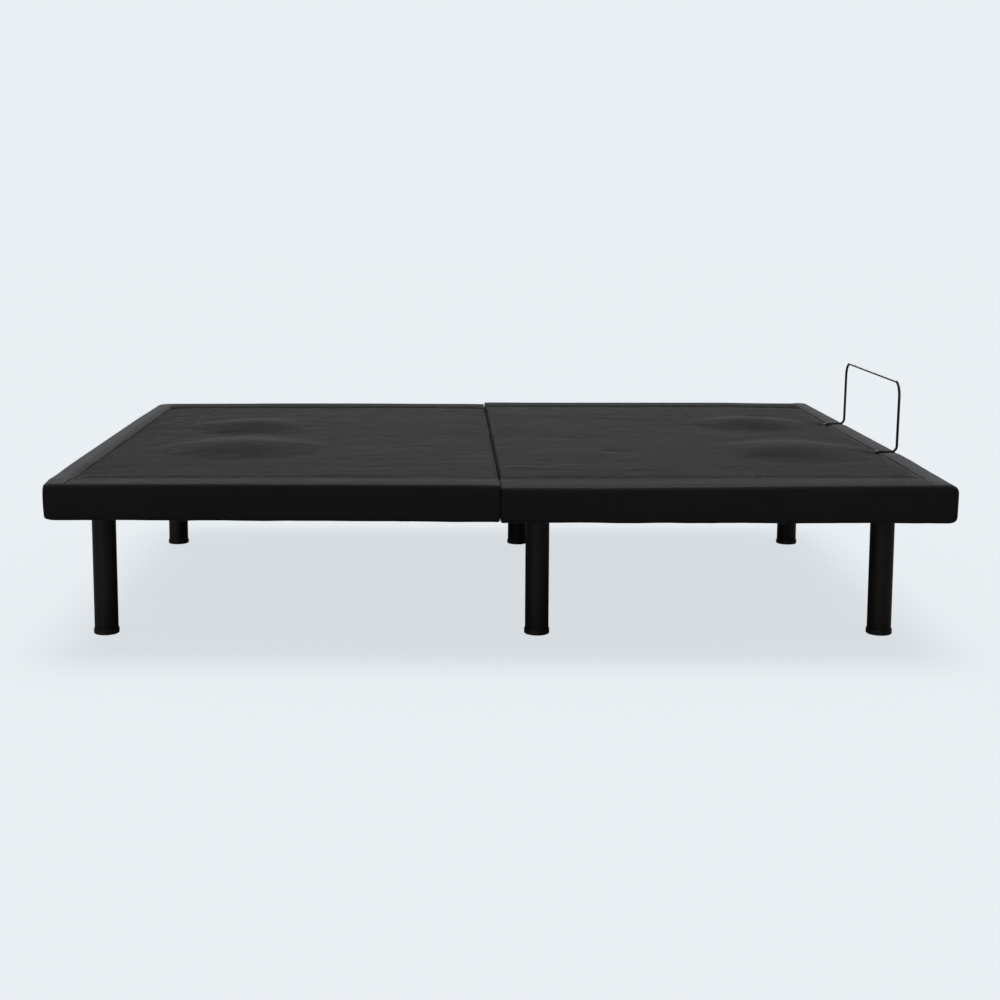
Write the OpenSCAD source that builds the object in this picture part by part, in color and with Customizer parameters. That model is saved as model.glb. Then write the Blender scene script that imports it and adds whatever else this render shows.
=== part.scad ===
// Adjustable bed base: two bolted chassis halves on six legs carry a fixed seat,
// a lifting head panel and a lifting thigh panel whose foot panel stays level.
// +X is the foot end, -X the head end, Z is up, the floor is z = 0. Millimetres.

/* [Deck] */
// overall length of the deck
length = 2020; // [1900:5:2100]
// overall width of the deck
width = 1514; // [900:2:1960]
// height of the deck's top face over the floor
top_z = 392; // [360:1:450]
// depth of the upholstered deck
deck_depth = 77; // [60:1:110]
// thickness of the upholstery fabric
fabric_t = 2; // [1:0.5:4]
// thickness of the foam pad
foam_t = 20; // [10:1:40]
// thickness of the plywood boards
board_t = 12; // [9:1:18]
// thickness of the border boards behind the skirt
border_t = 15; // [9:1:22]
// radius of the upholstered top edge
edge_r = 18; // [8:1:25]
// gap between the two halves at the split
split_gap = 3; // [1:0.5:8]

/* [Hinges] */
// distance of the head hinge from the split
head_hinge = 240; // [180:5:320]
// distance of the thigh hinge from the split
thigh_hinge = 155; // [120:5:240]
// distance of the knee hinge from the split
knee_hinge = 585; // [520:5:680]
// radius of the hinge pins
pin_r = 5; // [4:0.5:8]
// radius of the hinge eyes
eye_r = 9; // [8:0.5:12]
// distance of the hinge ears from the centre line
ear_y = 600; // [400:5:640]

/* [Frame] */
// distance of the long beams from the centre line
beam_y = 520; // [300:5:560]
// width of the long beams
beam_w = 40; // [30:1:60]
// height of the beams and cross bars
beam_h = 25; // [20:1:40]
// wall of the steel tubes
wall = 2; // [1.5:0.5:4]
// open gap left where two tubes meet
weld_gap = 0.25; // [0.1:0.05:1]

/* [Legs] */
// radius of the leg tube
leg_r = 28; // [20:1:35]
// position of the head legs along the bed
leg_head_x = -924; // [-960:1:-800]
// position of the middle legs along the bed
leg_mid_x = 95; // [60:1:160]
// position of the foot legs along the bed
leg_foot_x = 905; // [800:1:960]
// height of the spacer on each middle leg
spacer_h = 20; // [10:1:40]
// height of the plastic glide
glide_h = 12; // [8:1:30]

/* [Lift] */
// depth of the actuator line below the hinge line
lever_h = 90; // [70:1:110]
// distance of each actuator from the centre line
act_y = 100; // [60:5:200]
// width of the slot in the lever plates
slot_w = 13; // [12.5:0.5:16]

/* [Fittings] */
// radius of the retainer bar's rod
rod_r = 3.2; // [3:0.1:6]
// height of the retainer bar over the deck
bar_h = 179; // [100:1:220]
// half the distance between the bar's uprights
bar_y = 266; // [150:1:400]
// height of the massage mounds over the pad
mound_h = 14; // [5:1:20]
// radius of the massage mounds where they meet the pad
mound_a = 135; // [80:1:160]

/* [Hidden] */
$fn = 72;
L2 = length / 2;
W2 = width / 2;
bot_z = top_z - deck_depth;
pad_z1 = top_z - fabric_t;
pad_z0 = pad_z1 - foam_t;
brd_z0 = pad_z0 - board_t;
sub_z0 = brd_z0 - 16;
bm_z0 = bot_z + 1;
bm_z1 = bm_z0 + beam_h;
hz = brd_z0 + 4;
hx = -head_hinge;
tx = thigh_hinge;
kx = knee_hinge;
act_z = hz - lever_h;
hpx = hx + 50.9;
tpx = tx - 28.3;
cx = tx + 110;
bx = kx + 110;
sz = hz - 32;
strut_y = 565;
mound_R = (mound_a * mound_a + mound_h * mound_h) / (2 * mound_h);
hm = [-656, 190];
fm = [750, 253];
bar_x = 944;
bar_end = 990;
bend_r = 14;
corner_r = 36;
rod_z = top_z + rod_r + 0.2;
lean = 0.8;
c_top = [0.245, 0.245, 0.25];
c_side = [0.12, 0.12, 0.125];
c_foam = [0.86, 0.84, 0.76];
c_wood = [0.76, 0.62, 0.42];
c_steel = [0.09, 0.09, 0.1];
c_zinc = [0.72, 0.73, 0.75];
c_leg = [0.07, 0.07, 0.075];
c_plast = [0.05, 0.05, 0.055];
c_grey = [0.32, 0.33, 0.35];

// ---- helpers ----

// block between two x, two y and two z values
module blk(x0, x1, y0, y1, z0, z1) {
    translate([x0, y0, z0]) cube([x1 - x0, y1 - y0, z1 - z0]);
}

// cylinder along Y, from y0 to y1
module cyl_y(x, z, r, y0, y1) {
    translate([x, y0, z]) rotate([-90, 0, 0]) cylinder(h = y1 - y0, r = r);
}

// cylinder along X, from x0 to x1
module cyl_x(y, z, r, x0, x1) {
    translate([x0, y, z]) rotate([0, 90, 0]) cylinder(h = x1 - x0, r = r);
}

// rectangle with its own top and bottom corner radii
module rrect(a0, a1, b0, b1, rt, rb) {
    translate([a0, b0 + rb]) square([a1 - a0, b1 - b0 - rt - rb]);
    translate([a0 + rb, b0]) square([a1 - a0 - 2 * rb, rb]);
    translate([a0 + rt, b1 - rt]) square([a1 - a0 - 2 * rt, rt]);
    translate([a0 + rb, b0 + rb]) circle(rb);
    translate([a1 - rb, b0 + rb]) circle(rb);
    translate([a0 + rt, b1 - rt]) circle(rt);
    translate([a1 - rt, b1 - rt]) circle(rt);
}

// the whole upholstered deck, inset by d
module deck(d) {
    intersection() {
        translate([-L2, 0, 0]) rotate([90, 0, 90]) linear_extrude(length)
            rrect(-W2 + d, W2 - d, bot_z + d, top_z - d, edge_r - d, 12 - d);
        translate([0, W2, 0]) rotate([90, 0, 0]) linear_extrude(width)
            rrect(-L2 + d, L2 - d, bot_z + d, top_z - d, edge_r - d, 12 - d);
        translate([0, 0, bot_z - 1]) linear_extrude(deck_depth + 2)
            rrect(-L2 + d, L2 - d, -W2 + d, W2 - d, edge_r - d, edge_r - d);
    }
}

// a layer of the deck between two x and two z values
module layer(x0, x1, z0, z1, d) {
    intersection() {
        deck(d);
        blk(x0, x1, -W2 - 1, W2 + 1, z0, z1);
    }
}

module board(x0, x1) { layer(x0, x1, brd_z0, pad_z0, fabric_t); }
module pad(x0, x1) { layer(x0, x1, pad_z0, pad_z1, fabric_t); }

// two side boards of the border, and the end board where the section has one
module border(x0, x1, end) {
    yi = W2 - fabric_t - border_t;
    xi = L2 - fabric_t - border_t;
    difference() {
        layer(x0, x1, bot_z + fabric_t, brd_z0, fabric_t);
        blk(end < 0 ? -xi : x0 - 1, end > 0 ? xi : x1 + 1, -yi, yi, bot_z - 1, brd_z0 + 1);
        if (end < 0) blk(-xi, -xi + weld_gap, -W2, W2, bot_z - 1, brd_z0 + 1);
        if (end > 0) blk(xi - weld_gap, xi, -W2, W2, bot_z - 1, brd_z0 + 1);
    }
}

// fabric over the top and sides, folded under the border: 30 mm at the sides, 22 mm at the ends
module cover(x0, x1) {
    difference() {
        layer(x0, x1, bot_z, top_z, 0);
        deck(fabric_t);
        blk(-L2 + 24, L2 - 24, -W2 + 32, W2 - 32, bot_z - 1, bot_z + fabric_t + 1);
    }
}

module mound(p, g) {
    for (s = [-1, 1]) intersection() {
        translate([p[0], s * p[1], pad_z1 + mound_h - mound_R]) sphere(mound_R + g, $fn = 300);
        blk(p[0] - 170, p[0] + 170, s * p[1] - 170, s * p[1] + 170,
            pad_z1 - 4, pad_z1 + mound_h + g + 1);
    }
}

// hollow tube along X
module tube_x(x0, x1, yc, w, z0, z1) {
    difference() {
        blk(x0, x1, yc - w / 2, yc + w / 2, z0, z1);
        blk(x0 - 1, x1 + 1, yc - w / 2 + wall, yc + w / 2 - wall, z0 + wall, z1 - wall);
    }
}

// hollow tube along Y
module tube_y(xc, w, y0, y1, z0, z1) {
    difference() {
        blk(xc - w / 2, xc + w / 2, y0, y1, z0, z1);
        blk(xc - w / 2 + wall, xc + w / 2 - wall, y0 - 1, y1 + 1, z0 + wall, z1 - wall);
    }
}

// tubes of the moving panels' sub-frames, along Y and along X on both sides
module sub_tube_y(xc) {
    tube_y(xc, 20, -590 + weld_gap, 590 - weld_gap, sub_z0, brd_z0);
}
module sub_tubes_x(x0, x1) {
    for (s = [-1, 1]) tube_x(x0, x1, s * ear_y, 20, sub_z0, brd_z0);
}

// solid bar across a section
module bar_y(x0, x1, y2, z0, z1) { blk(x0, x1, -y2, y2, z0, z1); }

// plate in the X-Z plane with an eye at the hinge: pts are the plate's corners
module eye_plate(x, z, pts, y0, y1) {
    difference() {
        union() {
            cyl_y(x, z, eye_r, y0, y1);
            translate([0, y1, 0]) rotate([90, 0, 0]) linear_extrude(y1 - y0) polygon(pts);
        }
        cyl_y(x, z, pin_r + 0.05, y0 - 1, y1 + 1);
    }
}

// ear of the fixed side on both sides of the bed: x, rail face and direction
module ears(x, xr, dir) {
    for (s = [-1, 1])
        eye_plate(x, hz, [[x - 4 * dir, hz - 8], [xr, sub_z0 - 1], [xr, brd_z0],
            [x + 11 * dir, brd_z0], [x + 6 * dir, hz + 6]],
            s * ear_y - 5, s * ear_y + 5);
}

// pair of clevis plates round each ear
module clevises(x, xr, dir) {
    for (s = [-1, 1]) for (o = [-9, 9])
        eye_plate(x, hz, [[x - 4 * dir, hz - 8], [xr, sub_z0], [xr, brd_z0],
            [x + 11 * dir, brd_z0], [x + 6 * dir, hz + 6]],
            s * ear_y + o - 3, s * ear_y + o + 3);
}

// headed hinge pins through ears and clevises
module hinge_pins(x) {
    for (s = [-1, 1]) {
        cyl_y(x, hz, pin_r, s * ear_y - 15, s * ear_y + 15);
        cyl_y(x, hz, 7.5, s * ear_y + (s > 0 ? 12.5 : -15.5), s * ear_y + (s > 0 ? 15.5 : -12.5));
        cyl_y(x, hz, 6.5, s * ear_y + (s > 0 ? -15.5 : 12.5), s * ear_y + (s > 0 ? -12.5 : 15.5));
    }
}

module beams(x0, x1) {
    difference() {
        for (s = [-1, 1]) tube_x(x0, x1, s * beam_y, beam_w, bm_z0, bm_z1);
        for (x = [leg_head_x, leg_mid_x, leg_foot_x]) for (s = [-1, 1])
            translate([x, s * beam_y, bm_z0 - 1]) cylinder(h = beam_h - 1, r = 6.1);
        for (x = [-44, -18, 18, 44]) for (s = [-1, 1])
            cyl_y(x, (bm_z0 + bm_z1) / 2, 4.1, s > 0 ? beam_y + 10 : -beam_y - 21,
                s > 0 ? beam_y + 21 : -beam_y - 10);
    }
}

module crossbar(xc) {
    tube_y(xc, 25, -beam_y + beam_w / 2 + weld_gap, beam_y - beam_w / 2 - weld_gap,
        bm_z0, bm_z1);
}

module leg(x, s, z1) {
    translate([x, s * beam_y, glide_h]) difference() {
        cylinder(h = z1 - glide_h, r = leg_r);
        translate([0, 0, -1]) cylinder(h = z1 - glide_h - 19, r = leg_r - wall);
        translate([0, 0, z1 - glide_h - 16]) cylinder(h = 17, r = 6.1);
    }
}

// slotted lever: two plates beside the rod, welded to the sub-frame
module lever(x, yc, ang, pts, rs, re) {
    for (o = [-18.5, 18.5]) difference() {
        translate([x, yc + o + 2.5, hz]) rotate([90, 0, 0]) linear_extrude(5) polygon(pts);
        translate([x, yc + o - 4, hz]) rotate([0, ang, 0]) {
            translate([-slot_w / 2, 0, -re]) cube([slot_w, 8, re - rs]);
            translate([0, 0, -rs]) rotate([-90, 0, 0]) cylinder(h = 8, r = slot_w / 2);
            translate([0, 0, -re]) rotate([-90, 0, 0]) cylinder(h = 8, r = slot_w / 2);
        }
    }
}

// rod with its eye block and the cross pin pressed into it
module lift_rod(px, yc, dir) {
    cyl_x(yc, act_z, 10, dir > 0 ? px - 165 : px, dir > 0 ? px : px + 165);
    blk(px - 14, px + 14, yc - 14, yc + 14, act_z - 14, act_z + 14);
    cyl_y(px, act_z, pin_r, yc - 26, yc + 26);
    cyl_y(px, act_z, 9, yc - 26, yc - 23);
    cyl_y(px, act_z, 9, yc + 23, yc + 26);
}

module act_tube(x0, x1, yc) {
    difference() {
        cyl_x(yc, act_z, 20, x0, x1);
        cyl_x(yc, act_z, 10.05, x0 - 1, x1 + 1);
    }
}

// gearbox, parallel motor and rear eye: xg is the face the tube meets
module act_gearbox(xg, xe, yc, sy) {
    dx = xe > xg ? 1 : -1;
    ym = yc + sy * 58;
    difference() {
        union() {
            blk(min(xg, xg + dx * 70), max(xg, xg + dx * 70), min(yc - sy * 28, ym + sy * 26),
                max(yc - sy * 28, ym + sy * 26), act_z - 28, act_z + 28);
            cyl_x(ym, act_z, 24, dx > 0 ? xg - 130 : xg, dx > 0 ? xg : xg + 130);
            cyl_x(yc, act_z, 12, dx > 0 ? xg + 69 : xe, dx > 0 ? xe : xg - 69);
            blk(xe - 13, xe + 13, yc - 13, yc + 13, act_z - 13, act_z + 13);
        }
        cyl_y(xe, act_z, pin_r + 0.05, yc - 14, yc + 14);
    }
}

module massage(p) {
    for (s = [-1, 1]) {
        translate([p[0], s * p[1], bot_z + 5]) cylinder(h = pad_z0 + 2 - bot_z - 5, r = 55);
        translate([p[0], s * p[1], brd_z0 - 5]) cylinder(h = 5, r = 70);
        for (a = [45:90:315]) translate([p[0] + 63 * cos(a), s * p[1] + 63 * sin(a), brd_z0 - 8])
            cylinder(h = 4, r = 4);
    }
}

module motor_holes(p, z0, z1) {
    for (s = [-1, 1]) translate([p[0], s * p[1], z0]) cylinder(h = z1 - z0, r = 56);
}

module bar_holes(z0, z1) {
    for (s = [-1, 1]) blk(bar_x - 5, bar_x + 13, s * bar_y - 5, s * bar_y + 5, z0, z1);
}

// ring of points round p, square to the path, with unit vectors e1 and e2 across it
function ring(p, e1, e2, n) = [for (i = [0:n - 1])
    p + rod_r * (cos(360 * i / n) * e1 + sin(360 * i / n) * e2)];

// solid that follows a list of rings
module sweep(rings, n) {
    m = len(rings);
    polyhedron(points = [for (r = rings) for (p = r) p], faces = concat(
        [[for (i = [0:n - 1]) i]],
        [for (k = [0:m - 2]) for (i = [0:n - 1]) [k * n + i, (k + 1) * n + i, k * n + (i + 1) % n]],
        [for (k = [0:m - 2]) for (i = [0:n - 1])
            [k * n + (i + 1) % n, (k + 1) * n + i, (k + 1) * n + (i + 1) % n]],
        [[for (i = [0:n - 1]) (m - 1) * n + n - 1 - i]]));
}

// ---- chassis ----

module frame_head_half() {
    color(c_steel) {
        beams(-985, -split_gap / 2);
        for (x = [-970, -500, -345, -14.5]) crossbar(x);
    }
}
module frame_foot_half() {
    color(c_steel) {
        beams(split_gap / 2, 985);
        for (x = [14.5, 240, 540, 970]) crossbar(x);
    }
}
module splice_plates() {
    color(c_zinc) for (s = [-1, 1]) difference() {
        blk(-60, 60, s > 0 ? beam_y + 20 : -beam_y - 25, s > 0 ? beam_y + 25 : -beam_y - 20,
            bm_z0 + 2, bm_z1 - 2);
        for (x = [-44, -18, 18, 44])
            cyl_y(x, (bm_z0 + bm_z1) / 2, 4.1, s * beam_y + s * 22.5 - 4, s * beam_y + s * 22.5 + 4);
    }
}
module splice_bolts() {
    zc = (bm_z0 + bm_z1) / 2;
    color(c_zinc) for (x = [-44, -18, 18, 44]) for (s = [-1, 1]) {
        cyl_y(x, zc, 4, s > 0 ? beam_y + 6 : -beam_y - 26, s > 0 ? beam_y + 26 : -beam_y - 6);
        translate([x, s > 0 ? beam_y + 25 : -beam_y - 30, zc]) rotate([-90, 0, 0])
            cylinder(h = 5, r = 7.5, $fn = 6);
    }
}
module leg_head_front() { color(c_leg) leg(leg_head_x, -1, bot_z - 4); }
module leg_head_rear() { color(c_leg) leg(leg_head_x, 1, bot_z - 4); }
module leg_mid_front() { color(c_leg) leg(leg_mid_x, -1, bot_z - 4 - spacer_h); }
module leg_mid_rear() { color(c_leg) leg(leg_mid_x, 1, bot_z - 4 - spacer_h); }
module leg_foot_front() { color(c_leg) leg(leg_foot_x, -1, bot_z - 4); }
module leg_foot_rear() { color(c_leg) leg(leg_foot_x, 1, bot_z - 4); }
module mid_leg_spacers() {
    color(c_leg) for (s = [-1, 1]) translate([leg_mid_x, s * beam_y, bot_z - 4 - spacer_h])
        difference() {
            union() {
                cylinder(h = 1.5, r = leg_r - 2);
                translate([0, 0, 1.5]) cylinder(h = spacer_h - 1.5, r = leg_r);
            }
            translate([0, 0, -1]) cylinder(h = spacer_h + 2, r = 6.1);
        }
}
module leg_sockets() {
    color(c_steel) for (x = [leg_head_x, leg_mid_x, leg_foot_x]) for (s = [-1, 1])
        translate([x, s * beam_y, bot_z - 4]) difference() {
            cylinder(h = bm_z0 - bot_z + 4, r = 32);
            translate([0, 0, -1]) cylinder(h = 8, r = 6.1);
        }
}
module leg_studs() {
    color(c_zinc) for (x = [leg_head_x, leg_mid_x, leg_foot_x]) for (s = [-1, 1]) {
        low = x == leg_mid_x ? bot_z - 19 - spacer_h : bot_z - 19;
        translate([x, s * beam_y, low]) cylinder(h = bm_z1 - 4 - low, r = 6);
    }
}
module leg_glides() {
    color(c_plast) for (x = [leg_head_x, leg_mid_x, leg_foot_x]) for (s = [-1, 1])
        translate([x, s * beam_y, 0]) {
            cylinder(h = 1.5, r1 = leg_r + 0.5, r2 = leg_r + 2);
            translate([0, 0, 1.5]) cylinder(h = glide_h - 1.5, r = leg_r + 2);
        }
}
module seat_rails() {
    color(c_steel) {
        for (x = [[-170, -145], [-45, -20], [20, 45], [75, 100]])
            difference() {
                bar_y(x[0], x[1], 640, bm_z1, brd_z0);
                blk(x[0] + wall, x[1] - wall, -641, 641, bm_z1 + wall, brd_z0 - wall);
            }
        ears(hx, -170, 1);
        ears(tx, 75 + 25, -1);
    }
}
module seat_board_head() { color(c_wood) board(hx + 12, -split_gap / 2); }
module seat_board_foot() { color(c_wood) board(split_gap / 2, tx - 12); }
module seat_pad_head() { color(c_foam) pad(hx + 20, -split_gap / 2 - 2); }
module seat_pad_foot() { color(c_foam) pad(split_gap / 2 + 2, tx - 12); }
module seat_border_head() { color(c_wood) border(hx + 12, -split_gap / 2 - 2, 0); }
module seat_border_foot() { color(c_wood) border(split_gap / 2 + 2, tx - 12, 0); }
module seat_cover_head() {
    color(c_top) {
        cover(hx + 20, -split_gap / 2);
        layer(-split_gap / 2 - 2, -split_gap / 2, pad_z0 + 0.25, pad_z1, fabric_t);
    }
}
module seat_cover_foot() {
    color(c_top) {
        cover(split_gap / 2, tx - 12);
        layer(split_gap / 2, split_gap / 2 + 2, pad_z0 + 0.25, pad_z1, fabric_t);
    }
}
module head_hinge_pins() { color(c_zinc) hinge_pins(hx); }
module thigh_hinge_pins() { color(c_zinc) hinge_pins(tx); }
module strut_pivot_studs() {
    color(c_zinc) for (s = [-1, 1]) {
        cyl_y(cx, sz, 8, s > 0 ? beam_y + 20 : -strut_y + 3.5, s > 0 ? strut_y - 3.5 : -beam_y - 20);
        cyl_y(cx, sz, pin_r, s > 0 ? strut_y - 4 : -strut_y - 5, s > 0 ? strut_y + 5 : -strut_y + 4);
        cyl_y(cx, sz, 8, s > 0 ? strut_y + 3.5 : -strut_y - 6, s > 0 ? strut_y + 6 : -strut_y - 3.5);
    }
}
module actuator_brackets() {
    color(c_steel) {
        for (b = [[240, -act_y], [-345, act_y]]) {
            for (o = [-18, 18])
                blk(b[0] - 13, b[0] + 13, b[1] + o - 3, b[1] + o + 3, act_z - 14, bm_z0);
            cyl_y(b[0], act_z, pin_r, b[1] - 24, b[1] + 24);
        }
        for (s = [-1, 1]) difference() {
            blk(-20, -10, s * act_y - 30, s * act_y + 30, act_z - 28, bm_z0);
            cyl_x(s * act_y, act_z, 20.05, -21, -9);
        }
    }
}
module head_actuator_tube() { color(c_grey) act_tube(-150, 60, -act_y); }
module head_actuator_gearbox() { color(c_plast) act_gearbox(60, 240, -act_y, -1); }
module foot_actuator_tube() { color(c_grey) act_tube(-130, 82, act_y); }
module foot_actuator_gearbox() { color(c_plast) act_gearbox(-130, -345, act_y, 1); }
module control_box() {
    color(c_plast) difference() {
        blk(-585, -415, 150, 260, bm_z0 - 40, bm_z0);
        blk(-582, -418, 153, 257, bm_z0 - 41, bm_z0 - 3);
        for (y = [175, 195, 215, 235]) cyl_x(y, bm_z0 - 20, 6, -590, -580);
    }
}
module control_box_lid() {
    color(c_grey) difference() {
        blk(-585, -415, 150, 260, bm_z0 - 43, bm_z0 - 40);
        for (x = [-577, -423]) for (y = [158, 252])
            translate([x, y, bm_z0 - 44]) cylinder(h = 2, r = 3);
    }
}
module power_supply() {
    color(c_plast) {
        blk(465, 615, -240, -170, bm_z0 - 38, bm_z0);
        blk(450, 480, -225, -185, bm_z0 - 26, bm_z0 - 12);
        blk(600, 630, -225, -185, bm_z0 - 26, bm_z0 - 12);
    }
}

// ---- head panel ----

module head_subframe() {
    color(c_steel) {
        bar_y(-290, -270, 612, sub_z0, brd_z0);
        clevises(hx, -270, -1);
        for (x = [-550, -790, -975]) sub_tube_y(x);
        sub_tubes_x(-985, -290 - weld_gap);
        lever(hx, -act_y, -30, [[-60, -6], [-25, -6], [46.5, -42.5], [77.5, -96.2],
            [44.5, -115.2], [-60, -20]], 88, 106);
    }
}
module head_board() {
    color(c_wood) difference() {
        board(-L2, hx - 12);
        motor_holes(hm, brd_z0 - 1, pad_z0 + 1);
    }
}
module head_pad() {
    color(c_foam) difference() {
        union() {
            pad(-L2, hx - 20);
            mound(hm, 0);
        }
        motor_holes(hm, pad_z0 - 1, pad_z0 + 2.5);
    }
}
module head_border() { color(c_wood) border(-L2, hx - 12, -1); }
module head_cover() {
    color(c_top) difference() {
        union() {
            cover(-L2, hx - 20);
            mound(hm, fabric_t);
        }
        mound(hm, 0);
        for (s = [-1, 1]) blk(hm[0] - 171, hm[0] + 171, s * hm[1] - 171, s * hm[1] + 171,
            pad_z1 - 5, pad_z1);
    }
}
module head_massage_motors() { color(c_plast) massage(hm); }
module head_rod() { color(c_zinc) lift_rod(hpx, -act_y, -1); }

// ---- thigh panel ----

module thigh_subframe() {
    color(c_steel) {
        bar_y(180, 200, 612, sub_z0, brd_z0);
        clevises(tx, 180, 1);
        sub_tube_y(372);
        sub_tubes_x(200 + weld_gap, 545 - weld_gap);
        bar_y(545, 565, 612, sub_z0, brd_z0);
        for (s = [-1, 1]) eye_plate(kx, hz, [[kx + 4, hz - 8], [565, sub_z0], [565, brd_z0],
            [kx - 11, brd_z0], [kx - 6, hz + 6]], s * ear_y - 5, s * ear_y + 5);
        lever(tx, act_y, 17.5, [[60, -6], [25, -6], [-33.1, -42], [-51.8, -101.1],
            [-15.6, -112.5], [60, -20]], 89, 96);
    }
}
module thigh_board() { color(c_wood) board(tx + 12, kx - 12); }
module thigh_pad() { color(c_foam) pad(tx + 12, kx - 10); }
module thigh_border() { color(c_wood) border(tx + 12, kx - 18, 0); }
module thigh_cover() { color(c_top) cover(tx + 12, kx - 18); }
module knee_pins() { color(c_zinc) hinge_pins(kx); }

// ---- foot panel ----

module foot_subframe() {
    color(c_steel) {
        bar_y(612, 632, 612, sub_z0, brd_z0);
        clevises(kx, 612, 1);
        for (x = [855, 975]) sub_tube_y(x);
        sub_tubes_x(632 + weld_gap, 985);
        for (s = [-1, 1]) difference() {
            blk(bx - 12, bx + 12, s > 0 ? 584 : -590, s > 0 ? 590 : -584, sz - 12, brd_z0);
            cyl_y(bx, sz, pin_r, s * 587 - 4, s * 587 + 4);
        }
    }
}
module foot_board() {
    color(c_wood) difference() {
        board(kx + 12, L2);
        motor_holes(fm, brd_z0 - 1, pad_z0 + 1);
        bar_holes(brd_z0 - 1, pad_z0 + 1);
    }
}
module foot_pad() {
    color(c_foam) difference() {
        union() {
            pad(kx + 10, L2);
            mound(fm, 0);
        }
        motor_holes(fm, pad_z0 - 1, pad_z0 + 2.5);
        bar_holes(pad_z0 - 1, pad_z1 + 1);
    }
}
module foot_border() { color(c_wood) border(kx + 18, L2, 1); }
module foot_cover() {
    color(c_top) difference() {
        union() {
            cover(kx + 18, L2);
            mound(fm, fabric_t);
        }
        mound(fm, 0);
        for (s = [-1, 1]) blk(fm[0] - 171, fm[0] + 171, s * fm[1] - 171, s * fm[1] + 171,
            pad_z1 - 5, pad_z1);
        bar_holes(pad_z1 - 1, top_z + 1);
    }
}
module foot_massage_motors() { color(c_plast) massage(fm); }
// points [x, z, heading] of one foot of the bar, from its lower end to the upright
foot_z0 = brd_z0 - 11;
foot_up = rod_z - foot_z0 - 5.858 - 8;
foot_q = [bar_x + 2.929, foot_z0 + foot_up + 7.071];
foot_s = rod_z - 2.929 - foot_q[1];
foot_path = concat([[bar_x, foot_z0, 90]],
    [for (a = [0:9:45]) [bar_x + 10 - 10 * cos(a), foot_z0 + foot_up + 10 * sin(a), 90 - a]],
    [for (a = [0:9:45]) [foot_q[0] + foot_s + 7.071 - 10 * sin(45 - a),
        rod_z - 10 + 10 * cos(45 - a), 45 - a]],
    [for (a = [0:8]) let (t = a * (90 - lean) / 8)
        [bar_end + bend_r * sin(t), rod_z + bend_r - bend_r * cos(t), t]]);
up_x = bar_end + bend_r * cos(lean);
up_z = rod_z + bend_r - bend_r * sin(lean);
up_len = (top_z + bar_h - rod_r - up_z) / cos(lean);
up_v = [sin(lean), 0, cos(lean)];
function foot_rings(s, n) = [for (q = foot_path)
    let (t = [cos(q[2]), 0, sin(q[2])], e1 = [0, -s, 0])
    ring([q[0], s * bar_y, q[1]], e1, [-sin(q[2]), 0, cos(q[2])], n)];
function turned(l) = [for (i = [len(l) - 1:-1:0]) l[i]];
module retainer_bar() {
    n = 24;
    e2 = [-cos(lean), 0, sin(lean)];
    corner1 = [for (a = [0:9:90]) ring([up_x, -bar_y + corner_r * (1 - cos(a)), up_z]
        + (up_len - corner_r * (1 - sin(a))) * up_v, [0, cos(a), 0] - sin(a) * up_v, e2, n)];
    corner2 = [for (a = [90:9:180]) ring([up_x, bar_y - corner_r * (1 + cos(a)), up_z]
        + (up_len - corner_r * (1 - sin(a))) * up_v, [0, cos(a), 0] - sin(a) * up_v, e2, n)];
    color(c_leg) sweep(concat(foot_rings(-1, n), corner1, corner2, turned(foot_rings(1, n))), n);
}
module retainer_brackets() {
    color(c_zinc) for (s = [-1, 1]) difference() {
        blk(bar_x - 14, bar_x + 12, s * bar_y - 16, s * bar_y + 16, brd_z0 - 16, brd_z0);
        translate([bar_x, s * bar_y, brd_z0 - 11]) cylinder(h = 12, r = rod_r + 0.05);
    }
}
module foot_strut_pins() {
    color(c_zinc) for (s = [-1, 1]) {
        cyl_y(bx, sz, pin_r, s > 0 ? strut_y - 6 : -590, s > 0 ? 590 : -strut_y + 6);
        cyl_y(bx, sz, 8, s > 0 ? strut_y - 7 : -strut_y + 4, s > 0 ? strut_y - 4 : -strut_y + 7);
        cyl_y(bx, sz, 8, s > 0 ? strut_y + 4 : -584, s > 0 ? 584 : -strut_y - 4);
    }
}
module foot_struts() {
    color(c_steel) for (s = [-1, 1]) difference() {
        union() {
            blk(cx, bx, s * strut_y - 2.5, s * strut_y + 2.5, sz - 10, sz + 10);
            cyl_y(cx, sz, 10, s * strut_y - 2.5, s * strut_y + 2.5);
            cyl_y(bx, sz, 10, s * strut_y - 2.5, s * strut_y + 2.5);
        }
        cyl_y(cx, sz, pin_r + 0.05, s * strut_y - 4, s * strut_y + 4);
        cyl_y(bx, sz, pin_r + 0.05, s * strut_y - 4, s * strut_y + 4);
    }
}
module foot_rod() { color(c_zinc) lift_rod(tpx, act_y, 1); }

frame_head_half();
frame_foot_half();
splice_plates();
splice_bolts();
leg_head_front();
leg_head_rear();
leg_mid_front();
leg_mid_rear();
leg_foot_front();
leg_foot_rear();
mid_leg_spacers();
leg_sockets();
leg_studs();
leg_glides();
seat_rails();
seat_board_head();
seat_board_foot();
seat_pad_head();
seat_pad_foot();
seat_border_head();
seat_border_foot();
seat_cover_head();
seat_cover_foot();
head_hinge_pins();
thigh_hinge_pins();
strut_pivot_studs();
actuator_brackets();
head_actuator_tube();
head_actuator_gearbox();
foot_actuator_tube();
foot_actuator_gearbox();
control_box();
control_box_lid();
power_supply();
head_subframe();
head_board();
head_pad();
head_border();
head_cover();
head_massage_motors();
head_rod();
thigh_subframe();
thigh_board();
thigh_pad();
thigh_border();
thigh_cover();
knee_pins();
foot_subframe();
foot_board();
foot_pad();
foot_border();
foot_cover();
foot_massage_motors();
retainer_bar();
retainer_brackets();
foot_strut_pins();
foot_struts();
foot_rod();
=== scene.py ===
import math

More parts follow.
